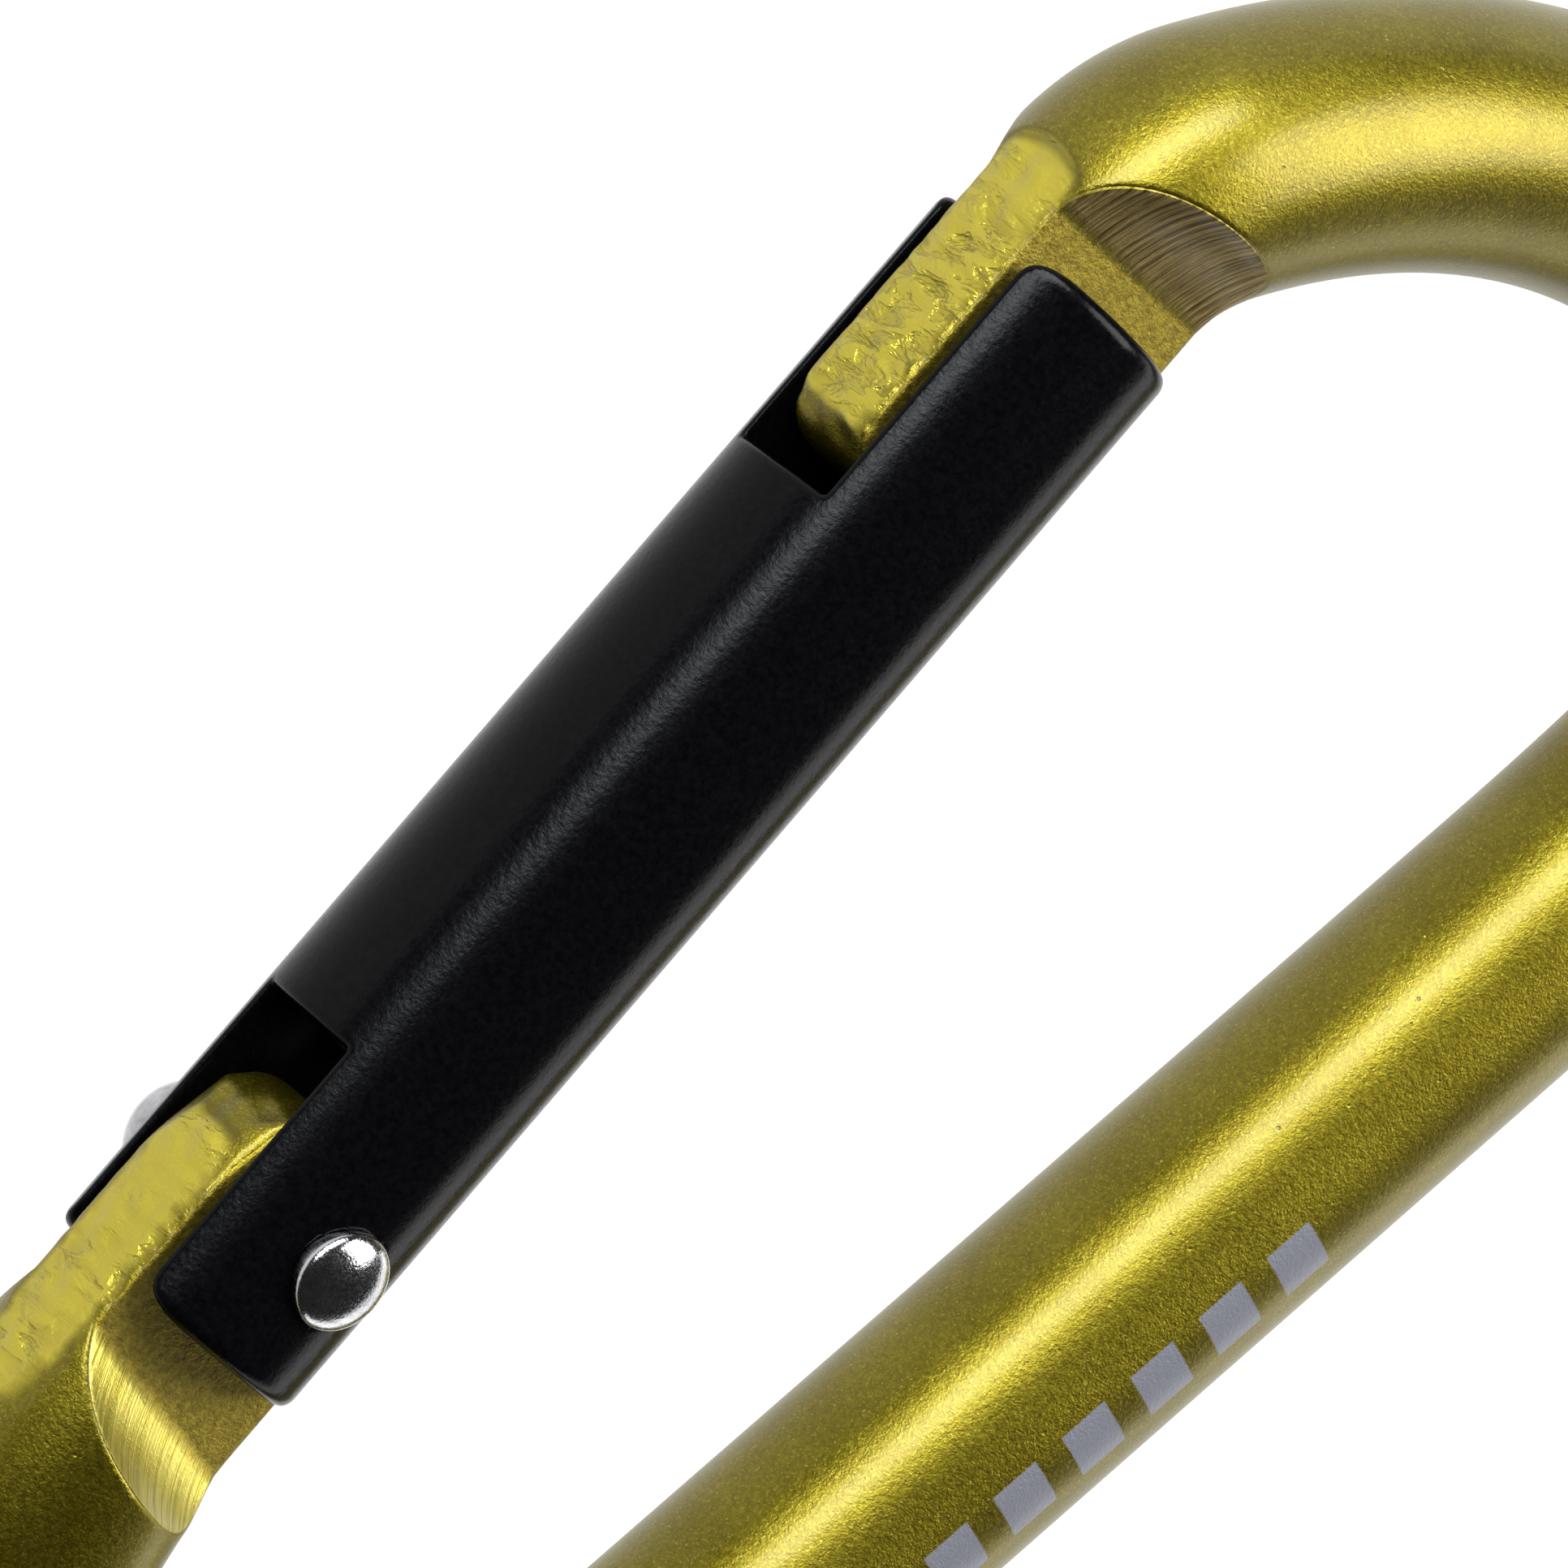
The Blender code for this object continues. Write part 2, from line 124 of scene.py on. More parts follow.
def surface_nets(field, xs, ys, zs):
    """Vertices and quads of the surface where field is zero, on a grid with these coordinates."""
    axes = (xs, ys, zs)
    values = field(*np.meshgrid(xs, ys, zs, indexing="ij")).astype(np.float32)
    cells = tuple(n - 1 for n in values.shape)
    total = np.zeros((*cells, 3), np.float32)
    count = np.zeros(cells, np.float32)
    crossings = []
    for axis in range(3):
        low = [slice(None)] * 3
        high = [slice(None)] * 3
        low[axis] = slice(None, -1)
        high[axis] = slice(1, None)
        a = values[tuple(low)]
        b = values[tuple(high)]
        crossed = (a < 0) != (b < 0)
        share = np.where(crossed, a / np.where(crossed, a - b, 1), 0)
        place = np.empty((*a.shape, 3), np.float32)
        for k in range(3):
            shape = [1, 1, 1]
            line = axes[k][:-1] if k == axis else axes[k]
            shape[k] = len(line)
            place[..., k] = line.reshape(shape)
        shape = [1, 1, 1]
        shape[axis] = -1
        place[..., axis] += share * np.diff(axes[axis]).reshape(shape)
        place *= crossed[..., None]
        others = [k for k in range(3) if k != axis]
        for first in (slice(None, -1), slice(1, None)):
            for second in (slice(None, -1), slice(1, None)):
                part = [slice(None)] * 3
                part[others[0]] = first
                part[others[1]] = second
                total += place[tuple(part)]
                count += crossed[tuple(part)]
        crossings.append((axis, others, crossed, a))
    active = count > 0
    index = np.full(cells, -1, np.int64)
    index[active] = np.arange(active.sum())
    points = total[active] / count[active][:, None]
    quads = []
    for axis, others, crossed, a in crossings:
        inner = [slice(None)] * 3
        inner[others[0]] = slice(1, -1)
        inner[others[1]] = slice(1, -1)
        where = np.argwhere(crossed[tuple(inner)])
        entering = (a[tuple(inner)] < 0)[tuple(where.T)]
        steps = [(0, 0), (1, 0), (1, 1), (0, 1)]
        corners = []
        for i, j in steps:
            cell = where.copy()
            cell[:, others[0]] += i
            cell[:, others[1]] += j
            corners.append(index[tuple(cell.T)])
        quad = np.stack(corners, axis=1)
        # The middle axis turns the other way round.
        flip = entering if axis == 1 else ~entering
        quad[flip] = quad[flip][:, ::-1]
        quads.append(quad)
    return points.astype(float), np.concatenate(quads)


def pull_to_surface(field, points, rounds=3, reach=0.08):
    """Moves the points onto the surface where field is zero."""
    step = 0.004
    for _ in range(rounds):
        x, y, z = points.T
        slope = np.stack(
            [
                field(x + step, y, z) - field(x - step, y, z),
                field(x, y + step, z) - field(x, y - step, z),
                field(x, y, z + step) - field(x, y, z - step),
            ],
            axis=1,
        ) / (2 * step)
        steep = np.maximum((slope**2).sum(axis=1), 0.05)
        move = -(field(x, y, z) / steep)[:, None] * slope
        length = np.linalg.norm(move, axis=1)[:, None]
        points = points + move * np.minimum(1, reach / np.maximum(length, 1e-9))
    return points


def graded(stops):
    """Grid coordinates from the first stop to the last; each stop is (place, step up to it)."""
    found = [np.array([stops[0][0]])]
    for (start, _), (end, step) in zip(stops, stops[1:]):
        count = max(1, round((end - start) / step))
        found.append(start + (end - start) * np.arange(1, count + 1) / count)
    return np.concatenate(found)


def waves(seed, count, low, high):
    """Fixed random plane waves for a bumpy surface: two wave numbers, a phase and a height each."""
    random = np.random.default_rng(seed)
    way = random.uniform(0, math.pi, count)
    number = random.uniform(low, high, count)
    phase = random.uniform(0, 2 * math.pi, count)
    return np.stack([number * np.cos(way), number * np.sin(way), phase, 1 / np.sqrt(count) + 0 * way], 1)


def bumpy(u, v, table):
    """Sum of the plane waves at these coordinates."""
    found = np.zeros(np.shape(u))
    for a, b, phase, height in table:
        found = found + height * np.sin(a * u + b * v + phase)
    return found


HAMMER = waves(3, 14, 2.2, 6.5)
WRINKLE = waves(11, 9, 5.0, 11.0)


def hammered(y, z):
    """Height of the pads' dented skin: broad blows and finer wrinkles across the gate."""
    return 0.05 * bumpy(y, z, HAMMER) + 0.03 * bumpy(y, 0.3 * z, WRINKLE)


def axis_distance(x, along, bends):
    """Distance, in the body's plane, from the rod's centreline past a shoulder."""
    found = np.abs(x)
    centre = np.array([0.0, bends[0][0]])
    turned = 0.0
    for i, (radius, degrees) in enumerate(bends):
        if i:
            before = bends[i - 1][0]
            centre = centre + (before - radius) * np.array([math.sin(turned), -math.cos(turned)])
        angle = np.arctan2(along - centre[0], centre[1] - x)
        here = np.abs(np.hypot(along - centre[0], x - centre[1]) - radius)
        found = np.where((along > 0) & (angle >= turned), here, found)
        turned += math.radians(degrees)
    return found


def ramp(w, radius, back, flat):
    """Height of a cheek: flat up to w = 0, then the side of a round cutter."""
    rise = flat + math.sqrt(radius**2 - back**2)
    inside = np.maximum(radius**2 - (np.maximum(w, 0) + back) ** 2, 0)
    return np.where(w > radius - back, 9.0, np.where(w < 0, flat, rise - np.sqrt(inside)))


def nose_scallop(x, y):
    """Distance past the line where the nose's scallops start."""
    return y - 35.21 - 0.0535 * x


def nose_pad_end(y, z):
    """Distance past the bowed end of the nose's flat."""
    return y - NOSE_SHOULDER - 0.5 + 0.17 * z**2


def nose_field(x, y, z):
    """The nose: rod thinned to a tang, with a hammered outer flat and a step inside."""
    rod = np.hypot(axis_distance(x, y - NOSE_SHOULDER, NOSE_BENDS[:2]), z) - ROD
    cheek = (np.abs(z) - ramp(nose_scallop(x, y), *NOSE_CUTTER, TANG)) * 0.93
    flat = PAD_X - x - hammered(y, z)
    pad = rmin(flat, -nose_pad_end(y, z), 0.12)
    outline = rmax(pad, NOSE_TIP_Y - y, 1.9)
    outline = rmax(outline, rmin(x - NOSE_STEP[0], NOSE_STEP[1] - y, 0.3), 1.3)
    return rmax(rmax(rod, cheek, 0.2), outline, 0.3)


def hinge_scallop(x, y):
    """Distance past the line where the hinge end's scallops start."""
    return -(y + 0.168 * x + 5.82) * 0.986


def cam(x, y):
    """Distance outside the involute face that the plunger rides on."""
    found = y - CAM_RADIUS
    for i in range(1, 20):
        angle = math.radians(2 * i)
        reach = CAM_RADIUS + CAM_RISE * angle
        found = np.maximum(found, x * math.sin(angle) + y * math.cos(angle) - reach)
    return found


def crease_line(y, z):
    """Distance past the slanting crease across the hinge's flat."""
    return y - 1.25 + 0.12 * z


def hinge_field(x, y, z):
    """The hinge end: rod thinned to a drilled tang, with its flat, cam and sloping facets."""
    rod = np.hypot(axis_distance(x, HINGE_SHOULDER - y, HINGE_BENDS[:2]), z) - ROD
    cheek = (np.abs(z) - ramp(hinge_scallop(x, y), *HINGE_CUTTER, TANG)) * 0.93
    crease = np.exp(-((crease_line(y, z) / 0.26) ** 2))
    flat = HINGE_PAD_X - x - hammered(y, z) + 0.06 * crease
    outline = rmax(rmax(flat, y - CAM_RADIUS, 2.9), cam(x, y), 0.1)
    facet = -0.88 * (x + 3.86) + 0.2415 * (y + 0.75) + 0.4095 * (np.abs(z) - 1.5)
    outline = rmax(outline, facet, 0.08)
    body = rmax(rmax(rod, cheek, 0.16), outline, 0.3)
    return np.maximum(body, TANG_HOLE - np.hypot(x, y))


def gate_field(x, y, z):
    """The bar, kept where it is an arm beside a slot or the core between and behind the slots."""
    half = (BAR_END - BAR_START) / 2
    bar = rmax(np.hypot(x - BAR_X, z) - BAR, np.abs(y - BAR_START - half) - half, 0.55)
    arms = rmax(rmax(SLOT - np.abs(z), y - BAR_END, 0.95), BAR_START - y, 0.95)
    web = rmax(WEB_X - x, y - WEB_END, 0.2)
    core = np.maximum(np.minimum(y - CORE_END - 0.015 * z**2, web), CORE_START - y)
    solid = rmax(bar, rmin(arms, core, 0.12), 0.22)
    middle = np.hypot(x, y)
    spot = np.where(z > 0, FRONT_SPOT[0], BACK_SPOT[0])
    seat = np.where(z > 0, FRONT_SPOT[1], BACK_SPOT[1])
    solid = rmax(solid, np.minimum(np.abs(z) - seat, spot - middle), 0.03)
    bore = np.minimum(BORE - np.hypot(x - BORE_X, z), np.minimum(BORE_END - y, y - 2))
    return np.maximum(np.maximum(solid, bore), GATE_HOLE - middle)


# ---------------------------------------------------------------- meshes


def new_object(name, mesh):
    obj = bpy.data.objects.new(name, mesh)
    bpy.context.scene.collection.objects.link(obj)
    return obj


def store(mesh, name, values):
    """Keeps one number per vertex for the materials."""
    layer = mesh.attributes.new(name, "FLOAT", "POINT")
    layer.data.foreach_set("value", np.asarray(values, np.float32))


def seam(shoulder, way, bends, degrees):
    """(point, heading) on the centreline at this turned angle past a shoulder, in the gate frame."""
    point = np.array([0.0, shoulder])
    turned = 0.0
    for radius, span in bends:
        step = min(span, degrees - turned)
        start, end = math.radians(turned), math.radians(turned + step)
        sideways = math.cos(start) - math.cos(end)
        forwards = way * (math.sin(end) - math.sin(start))
        point = point + radius * np.array([sideways, forwards])
        turned += step
        if turned >= degrees:
            break
    angle = math.radians(degrees)
    return point, np.array([math.sin(angle), way * math.cos(angle)])


def free_radius(shoulder, way, bends):
    """The bend radius that brings the centreline onto the spine's line."""
    def miss(radius):
        done = [(r or radius, span) for r, span in bends]
        point = seam(shoulder, way, done, sum(span for _, span in bends))[0]
        return point[0] * math.cos(TILT) - point[1] * math.sin(TILT) - SPINE_X
    low, high = 2.0, 40.0
    for _ in range(60):
        middle = (low + high) / 2
        if miss(middle) < 0:
            low = middle
        else:
            high = middle
    return middle


def stations(shoulder, way, bends, first):
    """Points and headings along the bends after the seam, close where the bend is tight."""
    radius = free_radius(shoulder, way, bends)
    done = [(r or radius, span) for r, span in bends]
    total = sum(span for _, span in done)
    angles = []
    turned = 0.0
    for r, span in done:
        step = min(3.0, math.degrees(0.7 / (r + ROD)))
        count = math.ceil(span / step)
        angles += [turned + span * i / count for i in range(count)]
        turned += span
    angles = [a for a in angles if a > first] + [total]
    return [seam(shoulder, way, done, a) for a in angles]


def tube_rings(sides):
    """Rings of the plain rod from the nose seam round the spine to the hinge seam."""
    nose = stations(NOSE_SHOULDER, 1, NOSE_BENDS, NOSE_SEAM + 0.2)
    hinge = stations(HINGE_SHOULDER, -1, HINGE_BENDS, HINGE_SEAM + 0.3)
    start, end = nose[-1], hinge[-1]
    count = 24
    straight = [
        (start[0] + (end[0] - start[0]) * i / count, start[1]) for i in range(1, count)
    ]
    path = nose + straight + [(p, -h) for p, h in hinge[::-1]]
    rings = []
    for point, heading in path:
        across = np.array([heading[1], -heading[0]])
        angle = 2 * math.pi * np.arange(sides) / sides
        flat = point[None] - across[None] * (ROD * np.cos(angle))[:, None]
        rings.append(np.column_stack([flat, ROD * np.sin(angle)]))
    return rings


def by_angle(verts, centre, across):
    """Vertices sorted by their angle round a rod centre, with those angles."""
    def angle(v):
        offset = v.co - centre
        return math.atan2(offset.z, offset.dot(across)) % (2 * math.pi)
    return sorted(((angle(v), v) for v in verts), key=lambda pair: pair[0])


def zip_loops(shape, first, second):
    """Fills between two loops of (angle, vertex) with triangles."""
    i = j = 0
    n, m = len(first), len(second)
    while i < n or j < m:
        next_a = first[(i + 1) % n][0] + (2 * math.pi if i + 1 >= n else 0)
        next_b = second[(j + 1) % m][0] + (2 * math.pi if j + 1 >= m else 0)
        if j >= m or (i < n and next_a <= next_b):
            face = (first[i % n][1], first[(i + 1) % n][1], second[j % m][1])
            i += 1
        else:
            face = (first[i % n][1], second[(j + 1) % m][1], second[j % m][1])
            j += 1
        if len(set(face)) == 3 and shape.faces.get(face) is None:
            shape.faces.new(face)


ZONES = ("depth", "past", "pad", "lift", "pad_end")


def zone_values(points):
    """Per point, in millimetres: below the rod's skin, past a scallop's start, outside a pad's
    plane, below a cheek's surface, and past a pad's end."""
    x, y, z = points.T
    nose_part = y > 15
    nose_rod = axis_distance(x, y - NOSE_SHOULDER, NOSE_BENDS[:2])
    hinge_rod = axis_distance(x, HINGE_SHOULDER - y, HINGE_BENDS[:2])
    near = np.where(nose_part, y < 41, y > -12) & (x < 5.2)
    depth = np.where(near, ROD - np.hypot(np.where(nose_part, nose_rod, hinge_rod), z), 0)
    past = np.where(nose_part, nose_scallop(x, y), hinge_scallop(x, y))
    pad = x - np.where(nose_part, PAD_X, HINGE_PAD_X)
    cheeks = np.where(nose_part, ramp(past, *NOSE_CUTTER, TANG), ramp(past, *HINGE_CUTTER, TANG))
    lift = cheeks - np.abs(z)
    end = np.where(nose_part, nose_pad_end(y, z), crease_line(y, z))
    return [np.clip(v, -3, 3) for v in (depth, past, pad, lift, end)]


def seam_frame(shoulder, way, bends, degrees):
    """(centre, heading, across) of the plane where a worked end meets the plain rod."""
    centre, heading = seam(shoulder, way, bends[:2], degrees)
    across = Vector((-heading[1] * way, heading[0] * way, 0))
    return Vector((*centre, 0)), Vector((*heading, 0)), across


def add_end(shape, field, span_x, span_y, frame_there):
    """Adds one worked end, cut off at its seam; returns the seam's loop of (angle, vertex)."""
    centre, heading, across = frame_there
    xs = np.arange(*span_x, BODY_STEP)
    ys = np.arange(*span_y, BODY_STEP)
    zs = np.arange(-4.35, 4.36, BODY_STEP)
    points, quads = surface_nets(field, xs, ys, zs)
    points = pull_to_surface(field, points)
    part = bmesh.new()
    mesh = bpy.data.meshes.new("end")
    mesh.from_pydata(points.tolist(), [], quads.tolist())
    part.from_mesh(mesh)
    everything = part.verts[:] + part.edges[:] + part.faces[:]
    bmesh.ops.bisect_plane(
        part, geom=everything, plane_co=centre, plane_no=heading, dist=1e-6, clear_outer=True
    )
    part.to_mesh(mesh)
    part.free()
    before = len(shape.verts)
    shape.from_mesh(mesh)
    shape.verts.ensure_lookup_table()
    rim = [
        v
        for v in shape.verts[before:]
        if abs((v.co - centre).dot(heading)) < 1e-4 and any(e.is_boundary for e in v.link_edges)
    ]
    return by_angle(rim, centre, across)


def build_body():
    """The bent rod as one mesh: two worked ends made from fields, joined by a swept tube."""
    nose = seam_frame(NOSE_SHOULDER, 1, NOSE_BENDS, NOSE_SEAM)
    hinge = seam_frame(HINGE_SHOULDER, -1, HINGE_BENDS, HINGE_SEAM)
    shape = bmesh.new()
    nose_loop = add_end(shape, nose_field, (-4.5, 5.1), (25.6, 42.5), nose)
    hinge_loop = add_end(shape, hinge_field, (-4.5, 5.6), (-12.6, 3.5), hinge)
    made = [[shape.verts.new(p) for p in ring] for ring in tube_rings(TUBE_SIDES)]
    for one, two in zip(made, made[1:]):
        for i in range(len(one)):
            k = (i + 1) % len(one)
            shape.faces.new((one[i], one[k], two[k], two[i]))
    zip_loops(shape, nose_loop, by_angle(made[0], nose[0], nose[2]))
    zip_loops(shape, by_angle(made[-1], hinge[0], hinge[2]), hinge_loop)
    bmesh.ops.recalc_face_normals(shape, faces=shape.faces)
    mesh = bpy.data.meshes.new("carabiner_body")
    shape.to_mesh(mesh)
    shape.free()
    local = np.array([v.co for v in mesh.vertices], float)
    for name, values in zip(ZONES, zone_values(local)):
        store(mesh, name, values)
    mesh.transform(TO_ROW)
    mesh.shade_smooth()
    return new_object("carabiner_body", mesh)


def build_gate():
    """The gate's bar, with a finer grid where it has edges."""
    xs = np.arange(-4.25, 4.26, 0.1)
    zs = np.arange(-4.25, 4.26, 0.1)
    ys = graded(
        [(-4.15, 0.1), (-2.6, 0.1), (-2.2, 0.2), (2.2, 0.1), (4.6, 0.3), (5.3, 0.1), (16.7, 0.5),
         (17.3, 0.1), (24.5, 0.5), (25.1, 0.1), (32.4, 0.45), (34.1, 0.1)]
    )
    points, quads = surface_nets(gate_field, xs, ys, zs)
    points = pull_to_surface(gate_field, points)
    mesh = bpy.data.meshes.new("gate_bar")
    mesh.from_pydata(points.tolist(), [], quads.tolist())
    mesh.transform(TO_ROW)
    mesh.shade_smooth()
    return new_object("gate_bar", mesh)


def lathe(name, profile, sides, matrix):
    """A turned piece about local z, from (radius, height) points top to bottom, closed."""
    shape = bmesh.new()
    rows = []
    for radius, height in profile:
        if radius == 0:
            rows.append([shape.verts.new((0, 0, height))])
            continue
        angles = [2 * math.pi * i / sides for i in range(sides)]
        rows.append([shape.verts.new((radius * math.cos(a), radius * math.sin(a), height)) for a in angles])
    for one, two in zip(rows, rows[1:]):
        for i in range(sides):
            k = (i + 1) % sides
            corners = [one[i % len(one)], two[i % len(two)], two[k % len(two)], one[k % len(one)]]
            unique = list(dict.fromkeys(corners))
            if len(unique) > 2:
                shape.faces.new(unique)
    bmesh.ops.recalc_face_normals(shape, faces=shape.faces)
    mesh = bpy.data.meshes.new(name)
    shape.to_mesh(mesh)
    shape.free()
    mesh.transform(TO_ROW @ matrix)
    mesh.shade_smooth()
    mesh.set_sharp_from_angle(angle=math.radians(40))
    return new_object(name, mesh)


def dome(radius, seat, rim, top, steps=14):
    """Profile of a rivet head from its apex out to its rim and under it."""
    points = [(0.0, top)]
    for i in range(1, steps + 1):
        angle = math.pi / 2 * i / steps
        points.append((radius * math.sin(angle), seat + rim + (top - seat - rim) * math.cos(angle)))
    return points + [(radius - 0.03, seat)]


def build_rivet():
    front_seat = FRONT_HEAD[1]
    back_seat = BACK_HEAD[1]
    back = [(radius, -height) for radius, height in dome(*BACK_HEAD, 24)[::-1]]
    profile = dome(*FRONT_HEAD) + [(SHANK, front_seat), (SHANK, -back_seat)] + back
    return lathe("rivet", profile, 64, Matrix.Identity(4))


def build_plunger():
    profile = [(0.0, 3.25), (1.2, 3.25), (1.32, 3.31), (1.38, 3.43), (1.38, 7.5), (1.3, 7.6),
               (0.6, 7.6), (0.6, 9.45), (0.5, 9.6), (0.0, 9.6)]
    stand = Matrix.Translation((BORE_X, 0, 0)) @ Matrix.Rotation(math.radians(-90), 4, "X")
    return lathe("plunger", profile, 48, stand)


def build_spring():
    """The compression coil, as one tube closed at both ends."""
    turns, wire, coil = 8.5, 0.27, 1.03
    start, end = 7.95, 16.65
    per_turn, around = 32, 10
    count = int(turns * per_turn)
    shape = bmesh.new()
    rows = []
    for i in range(count + 1):
        angle = 2 * math.pi * i / per_turn
        along = start + (end - start) * i / count
        middle = np.array([BORE_X + coil * math.cos(angle), along, coil * math.sin(angle)])
        out = np.array([math.cos(angle), 0, math.sin(angle)])
        row = []
        for k in range(around):
            turn = 2 * math.pi * k / around
            way = out * math.cos(turn) + np.array([0, 1, 0]) * math.sin(turn)
            row.append(shape.verts.new(middle + wire * way))
        rows.append(row)
    for one, two in zip(rows, rows[1:]):
        for k in range(around):
            n = (k + 1) % around
            shape.faces.new((one[k], one[n], two[n], two[k]))
    shape.faces.new(rows[0])
    shape.faces.new(rows[-1])
    bmesh.ops.recalc_face_normals(shape, faces=shape.faces)
    mesh = bpy.data.meshes.new("coil_spring")
    shape.to_mesh(mesh)
    shape.free()
    mesh.transform(TO_ROW)
    mesh.shade_smooth()
    return new_object("coil_spring", mesh)


# ---------------------------------------------------------------- materials


class Shader:
    """Short ways to build one node material; a value may be a number, a colour or a socket."""

    def __init__(self, name):
        self.material = bpy.data.materials.new(name)
        self.material.use_nodes = True
        self.tree = self.material.node_tree
        self.surface = self.tree.nodes["Principled BSDF"]

    def put(self, socket, value):
        if isinstance(value, bpy.types.NodeSocket):
            self.tree.links.new(value, socket)
        elif isinstance(value, (tuple, list)) and len(value) == 3 and len(socket.default_value) == 4:
            socket.default_value = (*value, 1.0)
        else:
            socket.default_value = value

    def node(self, kind, inputs=None, **settings):
        made = self.tree.nodes.new("ShaderNode" + kind)
        for key, value in settings.items():
            setattr(made, key, value)
        for key, value in (inputs or {}).items():
            self.put(made.inputs[key], value)
        return made

    def math(self, operation, a, b=0.0, c=0.0, clamp=False):
        made = self.node("Math", {0: a, 1: b, 2: c}, operation=operation, use_clamp=clamp)
        return made.outputs[0]

    def local(self, scale=(1, 1, 1)):
        """Coordinates in the gate's frame, in millimetres, times scale."""
        place = self.node("TexCoord").outputs["Object"]
        turn = self.node("Mapping", {"Vector": place}, vector_type="TEXTURE")
        turn.inputs["Location"].default_value = PIVOT
        turn.inputs["Rotation"].default_value = (0, 0, TILT)
        turn.inputs["Scale"].default_value = (MM, MM, MM)
        if scale == (1, 1, 1):
            return turn.outputs[0]
        return self.node("VectorMath", {0: turn.outputs[0], 1: scale}, operation="MULTIPLY").outputs[0]

    def noise(self, where, scale, detail=2.0, roughness=0.5, distortion=0.0):
        inputs = {"Vector": where, "Scale": scale, "Detail": detail}
        inputs |= {"Roughness": roughness, "Distortion": distortion}
        return self.node("TexNoise", inputs).outputs["Fac"]

    def fade(self, value, low, high, to_low=0.0, to_high=1.0):
        made = self.node(
            "MapRange",
            {"Value": value, "From Min": low, "From Max": high, "To Min": to_low, "To Max": to_high},
        )
        return made.outputs[0]

    def mix(self, share, a, b):
        """Colour a where the share is 0, colour b where it is 1."""
        made = self.node("Mix", {"Factor": share, "A": a, "B": b}, data_type="RGBA")
        return [s for s in made.outputs if s.type == "RGBA"][0]

    def attribute(self, name):
        return self.node("Attribute", attribute_name=name).outputs["Fac"]

    def bump(self, height, strength, distance):
        inputs = {"Height": height, "Strength": strength, "Distance": distance}
        return self.node("Bump", inputs).outputs[0]

    def set(self, **values):
        for key, value in values.items():
            self.put(self.surface.inputs[key.replace("_", " ")], value)


# Each pair is the two ends of a mix; the single colours are what a pattern turns the skin to. Some carry
# painted light and shade: the bright specks are painted glints, the flats are painted lighter, the wrinkles
# and a flat's end get painted shade, and the nose's scallop colours are a shaded copy of the hinge's.
OLIVE = ((0.128, 0.101, 0.004), (0.170, 0.139, 0.007))
OLIVE_GRAIN = (0.068, 0.050, 0.003)
OLIVE_GLINT = (0.33, 0.29, 0.045)
OLIVE_DENT = (0.16, 0.12, 0.01)
OLIVE_FLAT_LIT = (0.56, 0.47, 0.05)
OLIVE_WRINKLE_SHADE = (0.13, 0.10, 0.006)
OLIVE_RIM_SHADE = (0.08, 0.062, 0.004)
NOSE_CUT_SHADED = ((0.06, 0.038, 0.006), (0.36, 0.26, 0.08))
HINGE_CUT_LIT = ((0.24, 0.195, 0.014), (0.52, 0.45, 0.09))
RUBBED = ((0.13, 0.095, 0.012), (0.27, 0.21, 0.025))
PRINT_GREY = (0.11, 0.113, 0.135)

# The printed bars, in millimetres along the spine and across it from its middle.
PRINT_PERIOD = 2.7
PRINT_START = -18.0
PRINT_END = 9.0
PRINT_LOW = -0.85
PRINT_HIGH = 1.05


def body_zones(m):
    """Shares of the flats, the painted shade along a flat's end and the hinge flat's crease, the scallops
    and the tangs' cheeks.
    """
    depth = m.attribute("depth")
    pad = m.attribute("pad")
    sunk = m.fade(m.attribute("lift"), 0.06, 0.12, 1.0, 0.0)
    cut = m.math("MULTIPLY", m.fade(depth, 0.03, 0.07), sunk)
    flat = m.math("MULTIPLY", m.fade(pad, 0.1, 0.22, 1.0, 0.0), m.fade(depth, 0.02, 0.08))
    # Painted shade: a band along the nose flat's bowed end and the hinge flat's crease is darkened as if
    # the step there lay in shade.
    rim = m.fade(m.math("ABSOLUTE", m.attribute("pad_end")), 0.05, 0.3, 1.0, 0.0)
    rim = m.math("MULTIPLY", rim, m.fade(pad, 0.3, 0.6, 1.0, 0.0))
    scallop = m.math("MULTIPLY", cut, m.fade(m.attribute("past"), -0.1, 0.35))
    cheek = m.math("SUBTRACT", cut, scallop, clamp=True)
    return flat, rim, scallop, cheek


def tool_marks(m, place):
    """Height of the cutter's marks: along the gate, bowed a little, and fine only across it."""
    past = m.attribute("past")
    bow = m.math("MULTIPLY", m.math("MULTIPLY", past, past), 0.07)
    across = m.math("MULTIPLY", m.math("ADD", place["X"], bow), 7.0)
    along = m.math("MULTIPLY", place["Y"], 0.22)
    marks = m.node("CombineXYZ", {0: across, 1: along, 2: 0.0}).outputs[0]
    return m.noise(marks, 1.0, 4.0, 0.68)


def forging_wrinkles(m, where, flat):
    """Share of wrinkles, which run across the gate on the flats, in patches."""
    fold = m.noise(m.local((0.8, 2.0, 0.75)), 1.0, 3.0, 0.55, 0.4)
    patch = m.fade(m.noise(where, 0.42, 1.0), 0.36, 0.6)
    folds = m.math("MULTIPLY", m.fade(fold, 0.36, 0.56, 1.0, 0.0), patch)
    return m.math("MULTIPLY", folds, flat)


